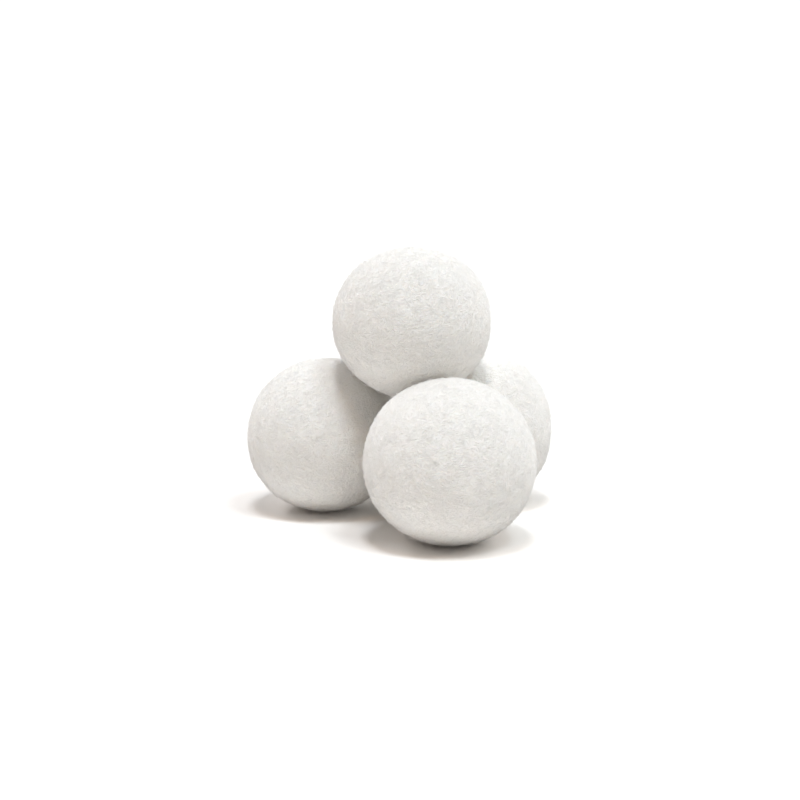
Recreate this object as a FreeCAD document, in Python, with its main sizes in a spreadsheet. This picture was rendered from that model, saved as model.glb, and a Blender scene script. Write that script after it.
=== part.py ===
import FreeCAD, Part
import math
import os
import Sketcher

# Four wool dryer balls, piled for storage: three stand on a flat surface and the fourth rests on them.
# Each ball is made in three layers, from the middle outwards:
#   core     a ball of wound wool yarn
#   batting  carded wool felted over the core
#   cover    a skin of fine white wool, felted hard
# Millimetres, +Z up, +Y away from the front ball. The origin is under the middle of the pile.
# Each ball is a little flatter than a sphere. It has its full width "across" its own short axis and
# is "thick" along it, and "lean" is how far that axis leans from upright towards +X, in degrees.

BALLS = ("front_ball", "left_ball", "right_ball", "top_ball")
STANDING_BALLS = ("front_ball", "left_ball", "right_ball")

SIZES = (
    ("front_ball_across", 74.2),
    ("front_ball_thick", 71.8),
    ("front_ball_lean", 4),
    ("front_ball_x", 20.6),
    ("front_ball_y", -37.5),
    ("front_ball_rise", 35.3),
    ("left_ball_across", 73.6),
    ("left_ball_thick", 72.2),
    ("left_ball_lean", -18),
    ("left_ball_x", -35.8),
    ("left_ball_y", 23.7),
    ("left_ball_rise", 35.6),
    ("right_ball_across", 74.2),
    ("right_ball_thick", 71.0),
    ("right_ball_lean", 86),
    ("right_ball_x", 37.0),
    ("right_ball_y", 37.5),
    ("right_ball_rise", 36.5),
    ("top_ball_across", 71.4),
    ("top_ball_thick", 68.4),
    ("top_ball_lean", -5),
    ("top_ball_x", 4.9),
    ("top_ball_y", 3.9),
    ("top_ball_rise", 91.1),
    ("cover_wall", 7),
    ("core_across", 38),
    ("slab_side", 300),
    ("slab_depth", 10),
)

SHEET = "Sizes"
H_AXIS, V_AXIS = -1, -2
START, END, CENTRE = 1, 2, 3
QUARTER_TURN = math.pi / 2
COVER_START = 35
LINING_START = 28
SPREAD_START = 2
CORE_START = 20


def make_sheet(doc):
    """The driving dimensions, one cell each, named by their aliases."""
    sheet = doc.addObject("Spreadsheet::Sheet", SHEET)
    for row, (name, value) in enumerate(SIZES, start=1):
        sheet.set(f"A{row}", name)
        sheet.set(f"B{row}", str(value))
        sheet.setAlias(f"B{row}", name)
    doc.recompute()
    return sheet


def cell(name):
    """A sheet cell, as an expression reads it."""
    return f"{SHEET}.{name}"


def origin_plane(body, role):
    """One of the body's own base planes."""
    return next(plane for plane in body.Origin.OriginFeatures if plane.Role == role)


def bind_constraint(sketch, name, constraint, expression):
    """Adds a named size to a sketch and ties it to the sheet."""
    index = sketch.addConstraint(constraint)
    sketch.renameConstraint(index, name)
    sketch.setExpression(f"Constraints.{name}", expression)


def round_arc(sketch, centre_x, centre_y, radius, first_angle, last_angle):
    """An arc at a rough starting size, which the constraints then correct."""
    circle = Part.Circle(FreeCAD.Vector(centre_x, centre_y, 0), FreeCAD.Vector(0, 0, 1), radius)
    return sketch.addGeometry(Part.ArcOfCircle(circle, first_angle, last_angle), False)


def oval_edge(sketch, name, ball, depth, start_radius):
    """The right-hand half of a ball's upright oval, this deep under its surface, as three tangent arcs.

    The side arc's centre is moved out from the middle, and the foot's and the crown's centres are
    moved up and down past it, all by the same "spread". That makes the arcs meet at half a right angle.
    Returns the foot arc and the crown arc.
    """
    across = cell(f"{ball}_across")
    thick = cell(f"{ball}_thick")
    spread = f"({across} - {thick}) / (4 - 2 * sqrt(2))"
    foot = round_arc(sketch, 0, SPREAD_START, start_radius + SPREAD_START, -QUARTER_TURN, -QUARTER_TURN / 2)
    side = round_arc(sketch, SPREAD_START, 0, start_radius, -QUARTER_TURN / 2, QUARTER_TURN / 2)
    crown = round_arc(sketch, 0, -SPREAD_START, start_radius + SPREAD_START, QUARTER_TURN / 2, QUARTER_TURN)
    sketch.addConstraint(Sketcher.Constraint("PointOnObject", foot, CENTRE, V_AXIS))
    sketch.addConstraint(Sketcher.Constraint("PointOnObject", side, CENTRE, H_AXIS))
    sketch.addConstraint(Sketcher.Constraint("PointOnObject", crown, CENTRE, V_AXIS))
    sketch.addConstraint(Sketcher.Constraint("Tangent", foot, END, side, START))
    sketch.addConstraint(Sketcher.Constraint("Tangent", side, END, crown, START))
    sketch.addConstraint(Sketcher.Constraint("PointOnObject", foot, START, V_AXIS))
    sketch.addConstraint(Sketcher.Constraint("PointOnObject", crown, END, V_AXIS))
    foot_up = Sketcher.Constraint("DistanceY", H_AXIS, START, foot, CENTRE, SPREAD_START)
    side_out = Sketcher.Constraint("DistanceX", H_AXIS, START, side, CENTRE, SPREAD_START)
    crown_down = Sketcher.Constraint("DistanceY", crown, CENTRE, H_AXIS, START, SPREAD_START)
    bind_constraint(sketch, f"{name}_foot_up", foot_up, spread)
    bind_constraint(sketch, f"{name}_side_out", side_out, spread)
    bind_constraint(sketch, f"{name}_crown_down", crown_down, spread)
    side_radius = Sketcher.Constraint("Radius", side, start_radius)
    bind_constraint(sketch, f"{name}_side_radius", side_radius, f"{across} / 2 - {spread} - {depth}")
    return foot, crown


def round_edge(sketch, name, across):
    """The right-hand half of a circle about the sketch's origin, from its foot to its crown."""
    edge = round_arc(sketch, 0, 0, CORE_START, -QUARTER_TURN, QUARTER_TURN)
    sketch.addConstraint(Sketcher.Constraint("Coincident", edge, CENTRE, H_AXIS, START))
    sketch.addConstraint(Sketcher.Constraint("PointOnObject", edge, START, V_AXIS))
    sketch.addConstraint(Sketcher.Constraint("PointOnObject", edge, END, V_AXIS))
    radius = Sketcher.Constraint("Radius", edge, CORE_START)
    bind_constraint(sketch, f"{name}_radius", radius, f"{across} / 2")
    return edge


def axis_line(sketch, first, first_end, second, second_end):
    """A straight side of the profile, along the short axis, that joins two ends."""
    points = (sketch.getPoint(first, first_end), sketch.getPoint(second, second_end))
    line = sketch.addGeometry(Part.LineSegment(*points), False)
    sketch.addConstraint(Sketcher.Constraint("Coincident", line, START, first, first_end))
    sketch.addConstraint(Sketcher.Constraint("Coincident", line, END, second, second_end))


def layer_body(doc, label, ball):
    """An empty body standing at a ball's centre and leaning with its short axis."""
    body = doc.addObject("PartDesign::Body", label)
    body.Label = label
    body.Placement.Rotation = FreeCAD.Rotation(FreeCAD.Vector(0, 1, 0), 1)
    body.setExpression("Placement.Base.x", cell(f"{ball}_x"))
    body.setExpression("Placement.Base.y", cell(f"{ball}_y"))
    body.setExpression("Placement.Base.z", cell(f"{ball}_rise"))
    body.setExpression("Placement.Rotation.Angle", cell(f"{ball}_lean"))
    sketch = body.newObject("Sketcher::SketchObject", f"{label}_profile")
    sketch.AttachmentSupport = (origin_plane(body, "XZ_Plane"), [""])
    sketch.MapMode = "FlatFace"
    return body, sketch


def spin(doc, body, sketch):
    """Turns the profile into a full ball about the short axis."""
    doc.recompute()
    turned = body.newObject("PartDesign::Revolution", f"{body.Label}_turned")
    turned.Profile = sketch
    turned.ReferenceAxis = (sketch, ["V_Axis"])
    turned.Angle = 360
    sketch.Visibility = False
    doc.recompute()


def make_core(doc, ball):
    """The wound yarn ball in the middle."""
    body, sketch = layer_body(doc, f"{ball}_core", ball)
    edge = round_edge(sketch, "core", cell("core_across"))
    axis_line(sketch, edge, START, edge, END)
    spin(doc, body, sketch)
    return body


def make_batting(doc, ball):
    """The carded wool between the core and the cover."""
    body, sketch = layer_body(doc, f"{ball}_batting", ball)
    foot, crown = oval_edge(sketch, "batting", ball, cell("cover_wall"), LINING_START)
    inner = round_edge(sketch, "core", cell("core_across"))
    axis_line(sketch, foot, START, inner, START)
    axis_line(sketch, crown, END, inner, END)
    spin(doc, body, sketch)
    return body


def make_skin(doc, label, ball):
    """The white felt skin before it is pressed flat anywhere."""
    body, sketch = layer_body(doc, label, ball)
    foot, crown = oval_edge(sketch, "cover", ball, 0, COVER_START)
    inner_foot, inner_crown = oval_edge(sketch, "lining", ball, cell("cover_wall"), LINING_START)
    axis_line(sketch, foot, START, inner_foot, START)
    axis_line(sketch, crown, END, inner_crown, END)
    spin(doc, body, sketch)
    return body


def make_surface(doc):
    """The flat surface under the pile, which only presses the standing balls flat where they touch it."""
    slab = doc.addObject("Part::Box", "surface_under_pile")
    slab.setExpression("Length", cell("slab_side"))
    slab.setExpression("Width", cell("slab_side"))
    slab.setExpression("Height", cell("slab_depth"))
    slab.setExpression("Placement.Base.x", f"-{cell('slab_side')} / 2")
    slab.setExpression("Placement.Base.y", f"-{cell('slab_side')} / 2")
    slab.setExpression("Placement.Base.z", f"-{cell('slab_depth')}")
    return slab


def make_cover(doc, ball, surface):
    """The white felt skin, with a small flat under a ball that stands on the surface."""
    label = f"{ball}_cover"
    if ball not in STANDING_BALLS:
        return make_skin(doc, label, ball)
    skin = make_skin(doc, f"{ball}_skin", ball)
    cover = doc.addObject("Part::Cut", label)
    cover.Label = label
    cover.Base = skin
    cover.Tool = surface
    doc.recompute()
    if not cover.Shape.Volume < skin.Shape.Volume:
        raise RuntimeError(f"{label} has no flat to stand on")
    return cover


def check_document(doc):
    """Stops if any object failed to compute."""
    for item in doc.Objects:
        if "Invalid" in item.State or "Error" in item.State:
            raise RuntimeError(f"{item.Label} did not compute: {item.State}")


def check_sub_part(part):
    """Stops unless a sub-part is one sound solid."""
    shape = part.Shape
    if shape.isNull() or not shape.isValid() or len(shape.Solids) != 1:
        raise RuntimeError(f"{part.Label} is not one valid solid")


def main():
    doc = FreeCAD.newDocument("dryer_balls")
    make_sheet(doc)
    surface = make_surface(doc)
    sub_parts = []
    for ball in BALLS:
        sub_parts.append(make_core(doc, ball))
        sub_parts.append(make_batting(doc, ball))
        sub_parts.append(make_cover(doc, ball, surface))
    doc.recompute()
    check_document(doc)
    for part in sub_parts:
        check_sub_part(part)
    os.makedirs("parts", exist_ok=True)
    for part in sub_parts:
        part.Shape.exportStep(os.path.join("parts", f"{part.Label}.step"))
        box = part.Shape.optimalBoundingBox()
        print(f"{part.Label}: {part.Shape.Volume / 1000:.2f} cm3, "
              f"{box.XLength:.2f} x {box.YLength:.2f} x {box.ZLength:.2f} mm, foot at {box.ZMin:.3f}")


main()
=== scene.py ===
import math

import bpy
import numpy as np
from mathutils import Euler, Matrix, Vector


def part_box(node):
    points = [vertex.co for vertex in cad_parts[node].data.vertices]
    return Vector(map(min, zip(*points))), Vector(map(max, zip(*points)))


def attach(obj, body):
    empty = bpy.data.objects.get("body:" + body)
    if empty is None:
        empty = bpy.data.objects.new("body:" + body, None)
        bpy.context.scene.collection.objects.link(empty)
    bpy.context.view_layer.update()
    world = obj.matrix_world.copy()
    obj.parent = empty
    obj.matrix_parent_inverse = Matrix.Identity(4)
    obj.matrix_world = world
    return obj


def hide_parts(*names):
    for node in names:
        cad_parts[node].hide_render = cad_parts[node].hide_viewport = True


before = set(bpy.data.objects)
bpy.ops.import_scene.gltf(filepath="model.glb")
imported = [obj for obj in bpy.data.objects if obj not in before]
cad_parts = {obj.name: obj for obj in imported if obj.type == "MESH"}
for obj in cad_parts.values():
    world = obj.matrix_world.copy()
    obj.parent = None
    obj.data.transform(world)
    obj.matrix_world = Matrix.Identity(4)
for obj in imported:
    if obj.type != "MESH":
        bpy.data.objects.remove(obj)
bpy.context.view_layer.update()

# Four felted wool dryer balls in a pile. Every ball is a cover of hard white felt with a nap of
# fine fibres, over carded wool, over a ball of wound yarn. Metres, in the frame's own axes.

MM = 0.001
STANDING_BALLS = ("front_ball", "left_ball", "right_ball")
TOP_BALL = "top_ball"
BALLS = STANDING_BALLS + (TOP_BALL,)
UP = np.array((0.0, 0.0, 1.0))


# ---------------------------------------------------------------- smooth random fields

LATTICE_SIDE = 64
LATTICE = np.random.RandomState(11).uniform(-1, 1, (LATTICE_SIDE,) * 3)
FIELD_SHIFT = np.array((17.3, 41.9, 29.7))


def noise(points, cell, seed):
    """Smooth random values from -1 to 1 over points, whose lumps are about one cell across."""
    places = points / cell + FIELD_SHIFT * seed
    corner = np.floor(places).astype(int)
    part = places - corner
    part = part * part * (3 - 2 * part)
    total = np.zeros(len(points))
    for step in np.ndindex(2, 2, 2):
        share = np.prod(np.where(step, part, 1 - part), axis=1)
        x, y, z = ((corner + step) % LATTICE_SIDE).T
        total += share * LATTICE[x, y, z]
    return total


def noise_vectors(points, cell, seed):
    """Smooth random vectors over points."""
    return np.stack([noise(points, cell, seed + 0.31 * axis) for axis in range(3)], axis=1)


def unit(vectors):
    """Vectors of length one."""
    return vectors / np.linalg.norm(vectors, axis=-1, keepdims=True)


def direction(around, above):
    """The unit vector so many degrees round from +X and so many degrees up."""
    a, b = math.radians(around), math.radians(above)
    return np.array((math.cos(b) * math.cos(a), math.cos(b) * math.sin(a), math.sin(b)))


def along_surface(vectors, outward):
    """What is left of the vectors along a surface that faces outward, at length one."""
    return unit(vectors - outward * np.sum(vectors * outward, axis=1, keepdims=True))


def smooth_min(first, second, blend):
    """The smaller of two values, with the change from one to the other rounded over blend."""
    share = np.clip(0.5 + 0.5 * (second - first) / blend, 0, 1)
    return second + (first - second) * share - blend * share * (1 - share)


# ---------------------------------------------------------------- the shape of a ball

def fit_oval(points):
    """The matrix A of the oval x.A.x = 1 that lies closest to points round its middle."""
    x, y, z = points.T
    terms = np.stack([x * x, y * y, z * z, 2 * x * y, 2 * x * z, 2 * y * z], axis=1)
    a, b, c, d, e, f = np.linalg.lstsq(terms, np.ones(len(points)), rcond=None)[0]
    return np.array(((a, d, e), (d, b, f), (e, f, c)))


def oval_radius(oval, directions):
    """How far the oval's surface is from its middle, in each direction."""
    return 1 / np.sqrt(np.einsum("ij,jk,ik->i", directions, oval, directions))


def node_points(node):
    """A CAD node's vertices."""
    return np.array([vertex.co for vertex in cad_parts[node].data.vertices])


# The listed unevenness of each ball: where a swelling or a hollow is (degrees round from +X
# and degrees up), how high it is in millimetres, and its half-width in degrees.
SWELLINGS = {
    "front_ball": ((180, 20, -0.5, 14), (180, 72, -0.55, 16), (0, 66, 0.3, 14), (0, -52, 0.8, 12)),
    "left_ball": (
        (180, 15, -0.6, 24), (0, -72, 0.55, 12), (180, -66, -0.6, 9), (180, -36, 0.3, 10),
    ),
    "right_ball": ((0, 55, 0.45, 14), (0, -32, 0.5, 12), (0, 0, -0.25, 12)),
    "top_ball": ((0, 88, -0.4, 20), (0, 35, 0.5, 9), (0, -4, -0.45, 10), (180, -42, -0.25, 12)),
}
# Random unevenness over all of a ball, in millimetres: how wide its lumps are and how high.
BROAD_CELL, BROAD_HEIGHT = 15.0, 0.22
DENT_CELL, DENT_HEIGHT = 6.0, 0.13

FLOOR_FLAT_MARGIN = 1.0 * MM    # how far up the CAD's flat foot is left out of the oval
PRESS_BLEND = 0.25 * MM         # how softly a ball's side goes over into a pressed place
CONTACT_GAP = 0.04 * MM         # each ball's distance from the plane where two balls press
LEAST_FACING = 0.1              # a plane can't cut where the ball faces less towards it
NO_LIMIT = 1.0                  # metres: beyond any radius


class Ball:
    """One ball: its middle, its outer and inner ovals, and the planes that press it."""

    def __init__(self, name, seed):
        self.name = name
        self.seed = seed
        low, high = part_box(f"{name}_core")
        self.centre = np.array((low + high) / 2)
        self.core_radius = (high.x - low.x) / 2
        places = node_points(f"{name}_cover") - self.centre
        reach = np.linalg.norm(places, axis=1)
        outside = reach > (reach.min() + reach.max()) / 2
        off_floor = places[:, 2] > FLOOR_FLAT_MARGIN - self.centre[2]
        self.oval = fit_oval(places[outside & off_floor])
        self.lining = fit_oval(places[~outside])
        self.mean_radius = reach[outside].mean()
        self.presses = []

    def press(self, point, outward):
        """Keeps the ball behind a plane."""
        self.presses.append((point, outward))

    def flattened(self, directions, radius):
        """The radius, cut down where the ball is pressed against its planes."""
        for point, outward in self.presses:
            facing = directions @ outward
            limit = np.full(len(directions), NO_LIMIT)
            towards = facing > LEAST_FACING
            limit[towards] = (point - self.centre) @ outward / facing[towards]
            radius = np.minimum(smooth_min(radius, limit, PRESS_BLEND), limit)
        return radius

    def swellings(self, directions):
        """The ball's low unevenness, in metres."""
        rise = np.zeros(len(directions))
        for around, above, height, spread in SWELLINGS[self.name]:
            away = np.degrees(np.arccos(np.clip(directions @ direction(around, above), -1, 1)))
            rise += height * np.exp(-0.5 * (away / spread) ** 2)
        places = directions * (self.mean_radius / MM)
        rise += BROAD_HEIGHT * noise(places, BROAD_CELL, self.seed)
        rise += DENT_HEIGHT * noise(places, DENT_CELL, self.seed + 5)
        return rise * MM

    def surface(self, directions, relief=0.0):
        """How far the felt's surface is from the middle, in each direction."""
        radius = oval_radius(self.oval, directions) + self.swellings(directions) + relief
        return self.flattened(directions, radius)


FIRST_BALL_SEED = 3


def make_balls():
    """The four balls, pressed against the floor and against each other where they touch."""
    balls = {name: Ball(name, FIRST_BALL_SEED + number) for number, name in enumerate(BALLS)}
    top = balls[TOP_BALL]
    for name in STANDING_BALLS:
        ball = balls[name]
        ball.press(np.zeros(3), -UP)
        line = top.centre - ball.centre
        towards_top = unit(line)
        low_edge = oval_radius(ball.oval, towards_top[None])[0]
        high_edge = np.linalg.norm(line) - oval_radius(top.oval, -towards_top[None])[0]
        touch = ball.centre + towards_top * (low_edge + high_edge) / 2
        ball.press(touch - towards_top * CONTACT_GAP, towards_top)
        top.press(touch + towards_top * CONTACT_GAP, -towards_top)
    return balls


# ---------------------------------------------------------------- meshes

def sphere_grid(count):
    """The unit directions and outward-facing quads of a cube that is blown up to a ball."""
    steps = np.arange(-count, count + 1, 2)
    faces = []
    for axis in range(3):
        for side in (-1, 1):
            u, v = np.meshgrid(steps, steps, indexing="ij")
            cells = np.zeros(u.shape + (3,), int)
            cells[..., axis] = side * count
            cells[..., (axis + 1) % 3] = u if side > 0 else v
            cells[..., (axis + 2) % 3] = v if side > 0 else u
            faces.append(cells)
    corners = np.concatenate([cells.reshape(-1, 3) for cells in faces])
    unique, index = np.unique(corners, axis=0, return_inverse=True)
    index = index.reshape(6, count + 1, count + 1)
    corners_of_quads = (
        index[:, :-1, :-1], index[:, 1:, :-1], index[:, 1:, 1:], index[:, :-1, 1:],
    )
    quads = np.stack(corners_of_quads, axis=-1)
    directions = unit(np.tan(unique / count * math.pi / 4))
    return directions, quads.reshape(-1, 4)


def make_object(name, points, faces, material, smooth=True):
    """A mesh object with one material."""
    mesh = bpy.data.meshes.new(name)
    mesh.from_pydata(points.tolist(), [], faces.tolist())
    mesh.polygons.foreach_set("use_smooth", np.full(len(mesh.polygons), smooth))
    mesh.materials.append(material)
    mesh.update()
    thing = bpy.data.objects.new(name, mesh)
    bpy.context.scene.collection.objects.link(thing)
    return thing


def set_tone(thing, values):
    """Stores one value per vertex for the material to read."""
    tone = thing.data.attributes.new("tone", "FLOAT", "POINT")
    tone.data.foreach_set("value", values.astype(np.float32))


def make_shell(name, centre, outer, inner, material, tone):
    """A closed hollow shell: outer and inner are each (directions, quads, radius)."""
    out_directions, out_quads, out_radius = outer
    in_directions, in_quads, in_radius = inner
    out_points = centre + out_directions * out_radius[:, None]
    in_points = centre + in_directions * in_radius[:, None]
    points = np.concatenate([out_points, in_points])
    faces = np.concatenate([out_quads, in_quads[:, ::-1] + len(out_points)])
    shell = make_object(name, points, faces, material)
    set_tone(shell, np.concatenate([tone, np.zeros(len(in_points))]))
    return shell


# ---------------------------------------------------------------- felt

STREAK_STEPS = 13

# How the course of lying fibres wanders: over how many millimetres, and how strongly.
WIDE_BEND_CELL, WIDE_BEND = 13.0, 1.3
SMALL_BEND_CELL, SMALL_BEND = 5.0, 0.5


def fibre_course(places, outward, seed, sideways):
    """The way that one layer's fibres lie: the given way, bent by a smooth random field."""
    wide = noise_vectors(places, WIDE_BEND_CELL, seed) * WIDE_BEND
    small = noise_vectors(places, SMALL_BEND_CELL, seed + 3) * SMALL_BEND
    return along_surface(wide + small + sideways, outward)


def streaks(places, course, length, width, seed):
    """Random streaks of this length and width that lie along their course, with a spread of one."""
    total = np.zeros(len(places))
    for step in np.linspace(-0.5, 0.5, STREAK_STEPS):
        total += noise(places + course * (length * step), width, seed) * math.cos(step * math.pi)
    return total / total.std()


# Each layer of lying fibres: length and width of its streaks in millimetres, height, and its share
# of the tone.
FELT_LAYERS = (
    (3.0, 0.95, 0.014, 0.5),
    (2.4, 0.95, 0.012, 0.4),
    (4.5, 1.40, 0.018, 0.3),
)

LAYER_TILT = 35    # degrees between the axes that two layers' fibres lie round
LAYER_LEAN = 0.3   # how far each axis leans to the front or the back


def layer_axis(number):
    """The axis that one layer's fibres lie round."""
    tilt = math.radians(LAYER_TILT * (number - 1))
    return np.array((math.sin(tilt), LAYER_LEAN * math.cos(3 * number), math.cos(tilt)))


def lying_fibres(layers, places, directions, first_seed, sideways):
    """The height in millimetres and the tone of layers of lying fibres, over points on a ball."""
    height = np.zeros(len(places))
    tone = np.zeros(len(places))
    for number, (length, width, rise, share) in enumerate(layers):
        seed = first_seed + number * 2
        course = fibre_course(places, directions, seed, sideways(number))
        streak = streaks(places, course, length, width, seed + 1)
        height += rise * streak
        tone += share * streak
    return height, tone


def felt_relief(ball, directions):
    """The height in metres and the tone of the felt's fibres, in each direction."""
    places = directions * (ball.mean_radius / MM)
    height, tone = lying_fibres(
        FELT_LAYERS, places, directions, ball.seed * 7,
        lambda number: np.cross(layer_axis(number), directions),
    )
    return height * MM, tone


# Squares along each side of the blown-up cubes.
COVER_SQUARES = 124
LINING_SQUARES = 32


def make_cover(ball, material):
    """The hard felt skin, with its fibres standing a little out of its surface."""
    directions, quads = sphere_grid(COVER_SQUARES)
    relief, tone = felt_relief(ball, directions)
    outer = directions, quads, ball.surface(directions, relief)
    in_directions, in_quads = sphere_grid(LINING_SQUARES)
    inner = in_directions, in_quads, oval_radius(ball.lining, in_directions)
    cover = make_shell(f"{ball.name}_felt_cover", ball.centre, outer, inner, material, tone)
    finish_piece(cover, ball, "cover")
    return cover


# ---------------------------------------------------------------- loose fibres

FIBRE_SIDES = 3
FIBRE_TIP = 0.1             # the part of a fibre's length that runs out to its point
FIBRE_TAPER = 0.35          # the part of its thickness that a fibre loses before that
FIBRE_CURVE = 1.4           # above 1, a fibre lies at first and rises towards its tip
LEAST_LIFT = 0.2            # the part of its kind's lift that the flattest fibre has

# A fibre is shaded as if it faced outwards, upwards by this much, and round by this much.
FIBRE_UPWARD = 0.3
FIBRE_ROUND = 0.9

FIBRE_SEED, SEEDS_TO_A_KIND = 200, 100
FIBRE_SHARE = 1.0


class FibreKind:
    """One kind of loose fibre.

    parts is how many straight parts a fibre has, sideways how strongly it keeps to lying level
    round its ball, and curl how far it bends. length, lift and thickness are (least, most) in
    millimetres. A real fibre lets light through, so only kinds that lie close cast shadows, and
    none sends light on to what is round it.
    """

    def __init__(self, name, count, parts, sideways, curl, length, lift, thickness, shadows=False):
        self.name = name
        self.count = int(count * FIBRE_SHARE)
        self.parts = parts
        self.sideways = sideways
        self.curl = curl
        self.length = length
        self.lift = lift
        self.thickness = thickness
        self.shadows = shadows


NAP = FibreKind("nap", 12000, 1, 0.3, 0.0, (0.6, 1.8), (0.2, 0.8), (0.06, 0.10))
FUZZ = FibreKind("fuzz", 14000, 2, 0.2, 0.5, (0.6, 1.6), (0.3, 1.1), (0.14, 0.22))
STRAYS = FibreKind("strays", 1500, 4, 0.2, 0.7, (1.2, 2.4), (0.7, 1.7), (0.16, 0.24))
# The lying wisps are two objects, so that neither mesh is too large.
WISPS, MORE_WISPS = (
    FibreKind(name, 9000, 3, 1.0, 0.3, (2.0, 4.5), (0.08, 0.40), (0.10, 0.15), shadows=True)
    for name in ("wisps", "more_wisps")
)
FIBRES = (NAP, FUZZ, STRAYS, WISPS, MORE_WISPS)


def fibre_triangles(parts):
    """The triangles of one fibre: a thin rod in this many parts that ends in a point."""
    tip = parts * FIBRE_SIDES
    triangles = [(0, 2, 1)]
    for part in range(parts):
        for side in range(FIBRE_SIDES):
            near = part * FIBRE_SIDES + side
            near_next = part * FIBRE_SIDES + (side + 1) % FIBRE_SIDES
            if part == parts - 1:
                triangles.append((near, near_next, tip))
                continue
            far, far_next = near + FIBRE_SIDES, near_next + FIBRE_SIDES
            triangles.append((near, near_next, far_next))
            triangles.append((near, far_next, far))
    return np.array(triangles)


def make_fibres(ball, kind, material, seed):
    """Fine fibres that start in the felt, lie along it at first and rise towards the tip."""
    rng = np.random.RandomState(seed)
    count = kind.count
    root = unit(rng.normal(size=(count, 3)))
    sideways = np.cross(np.tile(UP, (count, 1)), root)
    wander = rng.normal(size=(count, 3))
    either_way = rng.choice((-1, 1), (count, 1))
    heading = along_surface(wander + kind.sideways * sideways * either_way, root)
    across = np.cross(root, heading)
    reach = rng.uniform(*kind.length, count) * MM
    rise = rng.uniform(*kind.lift, count) * rng.uniform(LEAST_LIFT, 1.0, count) * MM
    radius = rng.uniform(*kind.thickness, count) * MM / 2
    bend = rng.normal(0, kind.curl, count)
    rings = []
    facing = []
    for station in range(kind.parts + 1):
        at_tip = station == kind.parts
        part = 1.0 if at_tip else (1 - FIBRE_TIP) * station / max(kind.parts - 1, 1)
        ahead = reach * part / ball.mean_radius
        aside = ahead * bend * part * 2
        way = unit(root + heading * ahead[:, None] + across * aside[:, None])
        distance = ball.surface(way, rise * part ** FIBRE_CURVE - radius * (1 - part))
        place = ball.centre + way * distance[:, None]
        if at_tip:
            rings.append(place[:, None])
            facing.append(way[:, None])
            continue
        width = radius * (1 - FIBRE_TAPER * part)
        for side in range(FIBRE_SIDES):
            angle = 2 * math.pi * side / FIBRE_SIDES
            offset = across * math.cos(angle) + way * math.sin(angle)
            rings.append((place + offset * width[:, None])[:, None])
            facing.append(unit(way + FIBRE_UPWARD * UP + FIBRE_ROUND * offset)[:, None])
    points = np.concatenate(rings, axis=1)
    points[..., 2] = np.maximum(points[..., 2], 0.0)
    faces = fibre_triangles(kind.parts)[None] + np.arange(count)[:, None, None] * points.shape[1]
    name = f"{ball.name}_{kind.name}"
    fibres = make_object(name, points.reshape(-1, 3), faces.reshape(-1, 3), material)
    fibres.visible_shadow = kind.shadows
    fibres.visible_diffuse = False
    normals = np.concatenate(facing, axis=1).reshape(-1, 3)
    fibres.data.normals_split_custom_set_from_vertices(normals.tolist())
    set_tone(fibres, np.repeat(rng.uniform(0, 1, count), points.shape[1]))
    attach(fibres, ball.name)
    return fibres


# ---------------------------------------------------------------- the hidden layers

BATTING_SEED = 60
BATTING_SQUARES = 88
BATTING_LAYERS = (
    (9.0, 1.6, 0.16, 0.6),
    (6.0, 1.1, 0.10, 0.4),
)


def make_batting(ball, material):
    """The carded wool under the cover: long loose streaks of fibre all round the ball."""
    directions, quads = sphere_grid(BATTING_SQUARES)
    outer_radius = oval_radius(ball.lining, directions)
    places = directions * (outer_radius.mean() / MM)
    height, tone = lying_fibres(
        BATTING_LAYERS, places, directions, BATTING_SEED + ball.seed * 5, lambda number: 0,
    )
    outer = directions, quads, outer_radius + (height - height.max()) * MM
    in_directions, in_quads = sphere_grid(LINING_SQUARES)
    inner = in_directions, in_quads, np.full(len(in_directions), ball.core_radius)
    batting = make_shell(f"{ball.name}_carded_batting", ball.centre, outer, inner, material, tone)
    finish_piece(batting, ball, "batting")
    return batting


CORE_SEED = 90
CORE_SQUARES = 110

# The yarn, in millimetres.
YARN_WIDTH = 2.6
YARNS_IN_A_WIND = 5
WINDS = 16
WIND_STEP = 0.09      # how much further out each wind lies than the one before
WIND_FLOOR = -0.6     # the depth of places that no wind covers
PLY_LENGTH = 5.0
PLY_DEPTH = 0.16
PLY_SLANT = 2.2       # radians that the twist turns from the middle of a yarn to its edge
NOWHERE = -10.0       # below any yarn


def make_core(ball, material):
    """The ball of wound yarn: bands of two-ply yarn laid round it one over another."""
    directions, quads = sphere_grid(CORE_SQUARES)
    rng = np.random.RandomState(CORE_SEED + ball.seed)
    radius_mm = ball.core_radius / MM
    best = np.full(len(directions), NOWHERE)
    tone = np.zeros(len(directions))
    for wind in range(WINDS):
        axis = unit(rng.normal(size=3))
        start = unit(np.cross(axis, rng.normal(size=3)))
        across = np.arcsin(np.clip(directions @ axis, -1, 1)) * radius_mm
        around = np.arctan2(directions @ np.cross(axis, start), directions @ start) * radius_mm
        strand = np.floor(across / YARN_WIDTH)
        off_centre = (across / YARN_WIDTH - strand - 0.5) * 2
        twist = np.sin(2 * math.pi * around / PLY_LENGTH + PLY_SLANT * off_centre + strand)
        rounded = np.sqrt(np.clip(1 - off_centre ** 2, 0, 1)) * YARN_WIDTH / 2 + PLY_DEPTH * twist
        inside = np.abs(strand + 0.5) < YARNS_IN_A_WIND / 2
        height = np.where(inside, rounded + wind * WIND_STEP, NOWHERE)
        tone = np.where(height > best, 0.4 * twist + rng.uniform(-0.3, 0.3), tone)
        best = np.maximum(best, height)
    best = np.maximum(best, WIND_FLOOR)
    radius = ball.core_radius + (best - best.max()) * MM
    points = ball.centre + directions * radius[:, None]
    core = make_object(f"{ball.name}_wound_core", points, quads, material)
    set_tone(core, tone)
    finish_piece(core, ball, "core")
    return core


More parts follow.
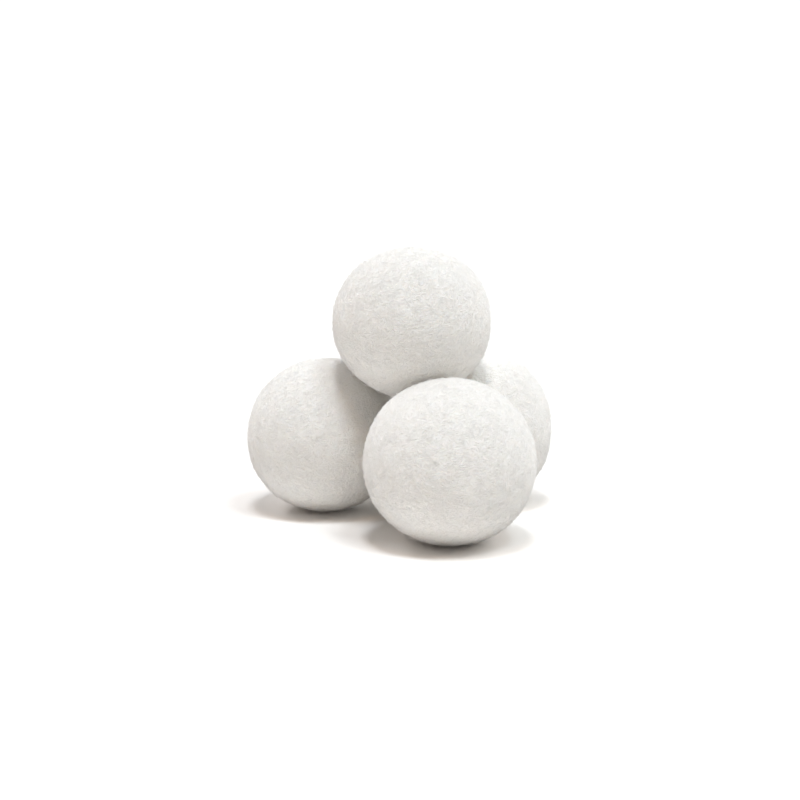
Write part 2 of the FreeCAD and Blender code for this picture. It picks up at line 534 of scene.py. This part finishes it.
def finish_piece(piece, ball, layer):
    """Puts a piece on its ball's body and hides the CAD node that it stands for."""
    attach(piece, ball.name)
    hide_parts(f"{ball.name}_{layer}")


# ---------------------------------------------------------------- materials

BUMP_DISTANCE = 0.3 * MM


class Nodes:
    """A new node material, with short ways to add to it."""

    def __init__(self, name):
        self.material = bpy.data.materials.new(name)
        self.material.use_nodes = True
        self.tree = self.material.node_tree
        self.shader = self.tree.nodes["Principled BSDF"]

    def set(self, **values):
        """Sets the shader's inputs; an input's name has _ for each space."""
        for key, value in values.items():
            self.feed(self.shader.inputs[key.replace("_", " ")], value)

    def place(self):
        """A point's place on its own object."""
        return self.add("ShaderNodeTexCoord").outputs["Object"]

    def tone(self):
        """The value that the mesh has stored for each vertex."""
        return self.add("ShaderNodeAttribute", attribute_name="tone").outputs["Fac"]

    def bump(self, height, strength):
        """Gives the shader a fine relief."""
        inputs = {"Strength": strength, "Distance": BUMP_DISTANCE, "Height": height}
        self.set(Normal=self.add("ShaderNodeBump", inputs).outputs["Normal"])

    def add(self, kind, inputs=None, **settings):
        """A node with its settings and inputs; an input may be a value or another node's output."""
        node = self.tree.nodes.new(kind)
        for key, value in settings.items():
            setattr(node, key, value)
        for key, value in (inputs or {}).items():
            self.feed(node.inputs[key], value)
        return node

    def feed(self, socket, value):
        """Joins an output to a socket, or sets the socket's value."""
        if isinstance(value, bpy.types.NodeSocket):
            self.tree.links.new(value, socket)
        else:
            socket.default_value = value

    def math(self, operation, first, second):
        """The output of a math node."""
        node = self.tree.nodes.new("ShaderNodeMath")
        node.operation = operation
        self.feed(node.inputs[0], first)
        self.feed(node.inputs[1], second)
        return node.outputs[0]

    def noise(self, vector, scale, detail=2.0, roughness=0.5):
        """A noise texture's value."""
        inputs = {"Vector": vector, "Scale": scale, "Detail": detail, "Roughness": roughness}
        return self.add("ShaderNodeTexNoise", inputs).outputs["Fac"]

    def mix(self, share, first, second):
        """A colour between two."""
        node = self.tree.nodes.new("ShaderNodeMix")
        node.data_type = "RGBA"
        self.feed(node.inputs[0], share)
        self.feed(node.inputs[6], first)
        self.feed(node.inputs[7], second)
        return node.outputs[2]

    def remap(self, value, low, high, new_low, new_high):
        """A value moved from one range to another, and held inside it."""
        inputs = {
            "Value": value,
            "From Min": low,
            "From Max": high,
            "To Min": new_low,
            "To Max": new_high,
        }
        return self.add("ShaderNodeMapRange", inputs).outputs["Result"]

    def stretched(self, vector, turn, squeeze):
        """Coordinates turned and then squeezed, so that a texture read with them is drawn out."""
        inputs = {"Vector": vector, "Rotation": turn, "Scale": squeeze}
        return self.add("ShaderNodeMapping", inputs).outputs["Vector"]


def rgb(red, green, blue):
    """A colour with its alpha."""
    return (red, green, blue, 1.0)


# The directions of the painted fibres, as turns in radians, and how far they are drawn out.
FIBRE_TURNS = (
    (0.0, 0.3, 0.0), (0.5, 0.0, 1.0), (1.2, 0.6, 2.1),
    (0.2, 1.3, 2.9), (0.9, 2.2, 0.5), (2.0, 0.9, 1.6),
)
FIBRE_SQUEEZE = (0.5, 1.0, 1.0)
FIBRE_BEND = 0.004         # how strongly their courses are bent
FIBRE_BEND_SCALE = 0.12    # the scale of the bends, as a part of the fibres' own


def fine_fibres(nodes, vector, scale):
    """Short hair-fine fibres that cross in several directions: 1 on a fibre, 0 between them."""
    bend_inputs = {"Vector": vector, "Scale": scale * FIBRE_BEND_SCALE}
    bend = nodes.add("ShaderNodeTexNoise", bend_inputs).outputs["Color"]
    bent_inputs = {"Fac": FIBRE_BEND, "Color1": vector, "Color2": bend}
    bent = nodes.add("ShaderNodeMixRGB", bent_inputs).outputs["Color"]
    top = 0.0
    for turn in FIBRE_TURNS:
        way = nodes.stretched(bent, turn, FIBRE_SQUEEZE)
        fibre_here = nodes.remap(nodes.noise(way, scale, 0.0), 0.45, 0.80, 0.0, 1.0)
        top = nodes.math("MAXIMUM", top, fibre_here)
    return top


# Texture scales are in cells to a metre.
FELT_LIGHT = rgb(0.99, 0.970, 0.930)
FELT_DEEP = rgb(0.89, 0.865, 0.82)
FELT_WARM = rgb(0.93, 0.905, 0.87)
FELT_SCALE = 1500.0
FELT_PATCH_SCALE = 45.0
SPECK = rgb(0.25, 0.19, 0.13)
SPECK_SCALE = 75.0
SPECK_RARITY = 0.965           # the share of the speck texture's cells that stay empty
SPECK_EDGE = (0.018, 0.034)    # in cells: where a speck starts to fade, and where it ends
FIBRE_LIGHT = rgb(0.99, 0.975, 0.945)
FIBRE_DEEP = rgb(0.93, 0.910, 0.875)
CARDED_LIGHT = rgb(0.86, 0.82, 0.76)
CARDED_DEEP = rgb(0.70, 0.65, 0.57)
CARDED_SCALE = 900.0
YARN_LIGHT = rgb(0.84, 0.79, 0.72)
YARN_DEEP = rgb(0.62, 0.56, 0.48)
YARN_SCALE = 1100.0


def add_specks(nodes, place, colour):
    """The colour with sparse small specks of plant matter on it."""
    cells = nodes.add("ShaderNodeTexVoronoi", {"Vector": place, "Scale": SPECK_SCALE})
    draw = nodes.add("ShaderNodeSeparateColor", {"Color": cells.outputs["Color"]}).outputs[0]
    chosen = nodes.math("GREATER_THAN", draw, SPECK_RARITY)
    close = nodes.remap(cells.outputs["Distance"], *SPECK_EDGE, 0.75, 0.0)
    return nodes.mix(nodes.math("MULTIPLY", chosen, close), colour, SPECK)


def felt_material():
    """Hard wet-felted white wool: matt, slightly see-through, light fibres on a deeper ground."""
    nodes = Nodes("white_felt")
    place = nodes.place()
    fine = fine_fibres(nodes, place, FELT_SCALE)
    lightness = nodes.math("ADD", nodes.math("MULTIPLY", nodes.tone(), 0.05), fine)
    fibre_share = nodes.remap(lightness, 0.0, 1.0, 0.2, 1.0)
    ground = nodes.mix(fibre_share, FELT_DEEP, FELT_LIGHT)
    patches = nodes.remap(nodes.noise(place, FELT_PATCH_SCALE, 3.0), 0.42, 0.68, 0.0, 0.35)
    warm = nodes.mix(patches, ground, FELT_WARM)
    nodes.set(
        Base_Color=add_specks(nodes, place, warm),
        Roughness=nodes.remap(fine, 0.3, 0.7, 1.0, 0.85),
        Specular_IOR_Level=0.15,
        Sheen_Weight=0.12,
        Sheen_Roughness=0.6,
        Subsurface_Weight=0.25,
        Subsurface_Radius=(0.0012, 0.0010, 0.0008),
        Subsurface_Scale=1.0,
    )
    nodes.bump(fine, 1.0)
    return nodes.material


def fibre_material():
    """Single wool fibres, a little lighter than the felt under them."""
    nodes = Nodes("wool_fibre")
    nodes.set(
        Base_Color=nodes.mix(nodes.tone(), FIBRE_DEEP, FIBRE_LIGHT),
        Roughness=0.8,
        Specular_IOR_Level=0.2,
        Sheen_Weight=0.1,
    )
    return nodes.material


def loose_wool_material(name, light, deep, scale):
    """Unbleached wool for the hidden layers."""
    nodes = Nodes(name)
    fine = fine_fibres(nodes, nodes.place(), scale)
    lightness = nodes.math("ADD", nodes.math("MULTIPLY", nodes.tone(), 0.3), fine)
    share = nodes.remap(lightness, 0.0, 1.0, 0.0, 1.0)
    nodes.set(
        Base_Color=nodes.mix(share, deep, light),
        Roughness=0.95,
        Specular_IOR_Level=0.15,
        Sheen_Weight=0.2,
    )
    nodes.bump(fine, 0.6)
    return nodes.material


# ---------------------------------------------------------------- floor, light and camera

FLOOR_SIDE = 60.0
FLOOR_COLOUR = rgb(0.91, 0.89, 0.87)
SURROUND_SEEN = 1.1    # bright enough to be pure white in the picture

# Each light is as far away as the sky, so that it falls evenly on the whole floor: degrees round
# from +X, degrees up, how many degrees across it looks, and its strength in red, green and blue.
LIGHTS = {
    "over_front": (-90, 78, 12, (1.24, 1.34, 1.44)),
    "over_right": (-45, 66, 14, (0.88, 0.96, 1.00)),
    "high_front": (-90, 66, 12, (0.28, 0.18, 0.10)),
    "right": (0, 45, 30, (0.70, 0.68, 0.66)),
    "left": (180, 45, 30, (0.42, 0.39, 0.37)),
    "back_left": (135, 40, 20, (0.94, 0.93, 0.94)),
    "back_right": (45, 22, 40, (1.08, 1.07, 1.06)),
    "front_left": (-135, 8, 24, (0.36, 0.33, 0.31)),
}


def make_floor():
    """A plain pale floor. Its slight warmth tints the balls from below."""
    nodes = Nodes("white_floor")
    nodes.set(Base_Color=FLOOR_COLOUR, Roughness=0.9, Specular_IOR_Level=0.1)
    half = FLOOR_SIDE / 2
    corners = np.array(((-half, -half, 0), (half, -half, 0), (half, half, 0), (-half, half, 0)))
    floor = make_object("floor", corners, np.array(((0, 1, 2, 3),)), nodes.material, smooth=False)


def make_light(name, around, above, width, strength):
    """A wide soft light that shines on the pile from far away."""
    light = bpy.data.lights.new(name, "SUN")
    light.angle = math.radians(width)
    light.energy = max(strength)
    light.color = [part / max(strength) for part in strength]
    lamp = bpy.data.objects.new(name, light)
    away = Vector(direction(around, above))
    lamp.rotation_euler = away.to_track_quat("Z", "Y").to_euler()
    bpy.context.scene.collection.objects.link(lamp)


def make_surround():
    """A surround that is white where the camera sees it and gives no light of its own."""
    world = bpy.data.worlds.new("surround")
    world.use_nodes = True
    bpy.context.scene.world = world
    tree = world.node_tree
    as_light = tree.nodes["Background"]
    as_light.inputs["Color"].default_value = rgb(0.0, 0.0, 0.0)
    seen = tree.nodes.new("ShaderNodeBackground")
    seen.inputs["Color"].default_value = rgb(1.0, 1.0, 1.0)
    seen.inputs["Strength"].default_value = SURROUND_SEEN
    path = tree.nodes.new("ShaderNodeLightPath")
    mix = tree.nodes.new("ShaderNodeMixShader")
    tree.links.new(path.outputs["Is Camera Ray"], mix.inputs[0])
    tree.links.new(as_light.outputs[0], mix.inputs[1])
    tree.links.new(seen.outputs[0], mix.inputs[2])
    tree.links.new(mix.outputs[0], tree.nodes["World Output"].inputs["Surface"])


CAMERA_PLACE = Vector((-0.0020, -0.6301, 0.1605))
CAMERA_DOWN = 9.42    # degrees
CAMERA_TURN = 0.14    # degrees
CAMERA_LENS = 63.28   # millimetres
SENSOR_WIDTH = 36     # millimetres


def make_camera():
    """A long lens a little above the pile, looking slightly down."""
    lens = bpy.data.cameras.new("camera")
    lens.sensor_width = SENSOR_WIDTH
    lens.lens = CAMERA_LENS
    lens.clip_start = 0.01
    camera = bpy.data.objects.new("camera", lens)
    camera.location = CAMERA_PLACE
    camera.rotation_euler = Euler((math.radians(90 - CAMERA_DOWN), 0, math.radians(-CAMERA_TURN)))
    bpy.context.scene.collection.objects.link(camera)
    bpy.context.scene.camera = camera


# ---------------------------------------------------------------- all together

make_camera()
make_floor()
make_surround()
for light_name, facts in LIGHTS.items():
    make_light(light_name, *facts)
bpy.context.scene.view_settings.view_transform = "Standard"

felt = felt_material()
fibre = fibre_material()
carded = loose_wool_material("carded_wool", CARDED_LIGHT, CARDED_DEEP, CARDED_SCALE)
yarn = loose_wool_material("wool_yarn", YARN_LIGHT, YARN_DEEP, YARN_SCALE)

for ball in make_balls().values():
    make_cover(ball, felt)
    make_batting(ball, carded)
    make_core(ball, yarn)
    for number, kind in enumerate(FIBRES):
        make_fibres(ball, kind, fibre, FIBRE_SEED + SEEDS_TO_A_KIND * number + ball.seed)
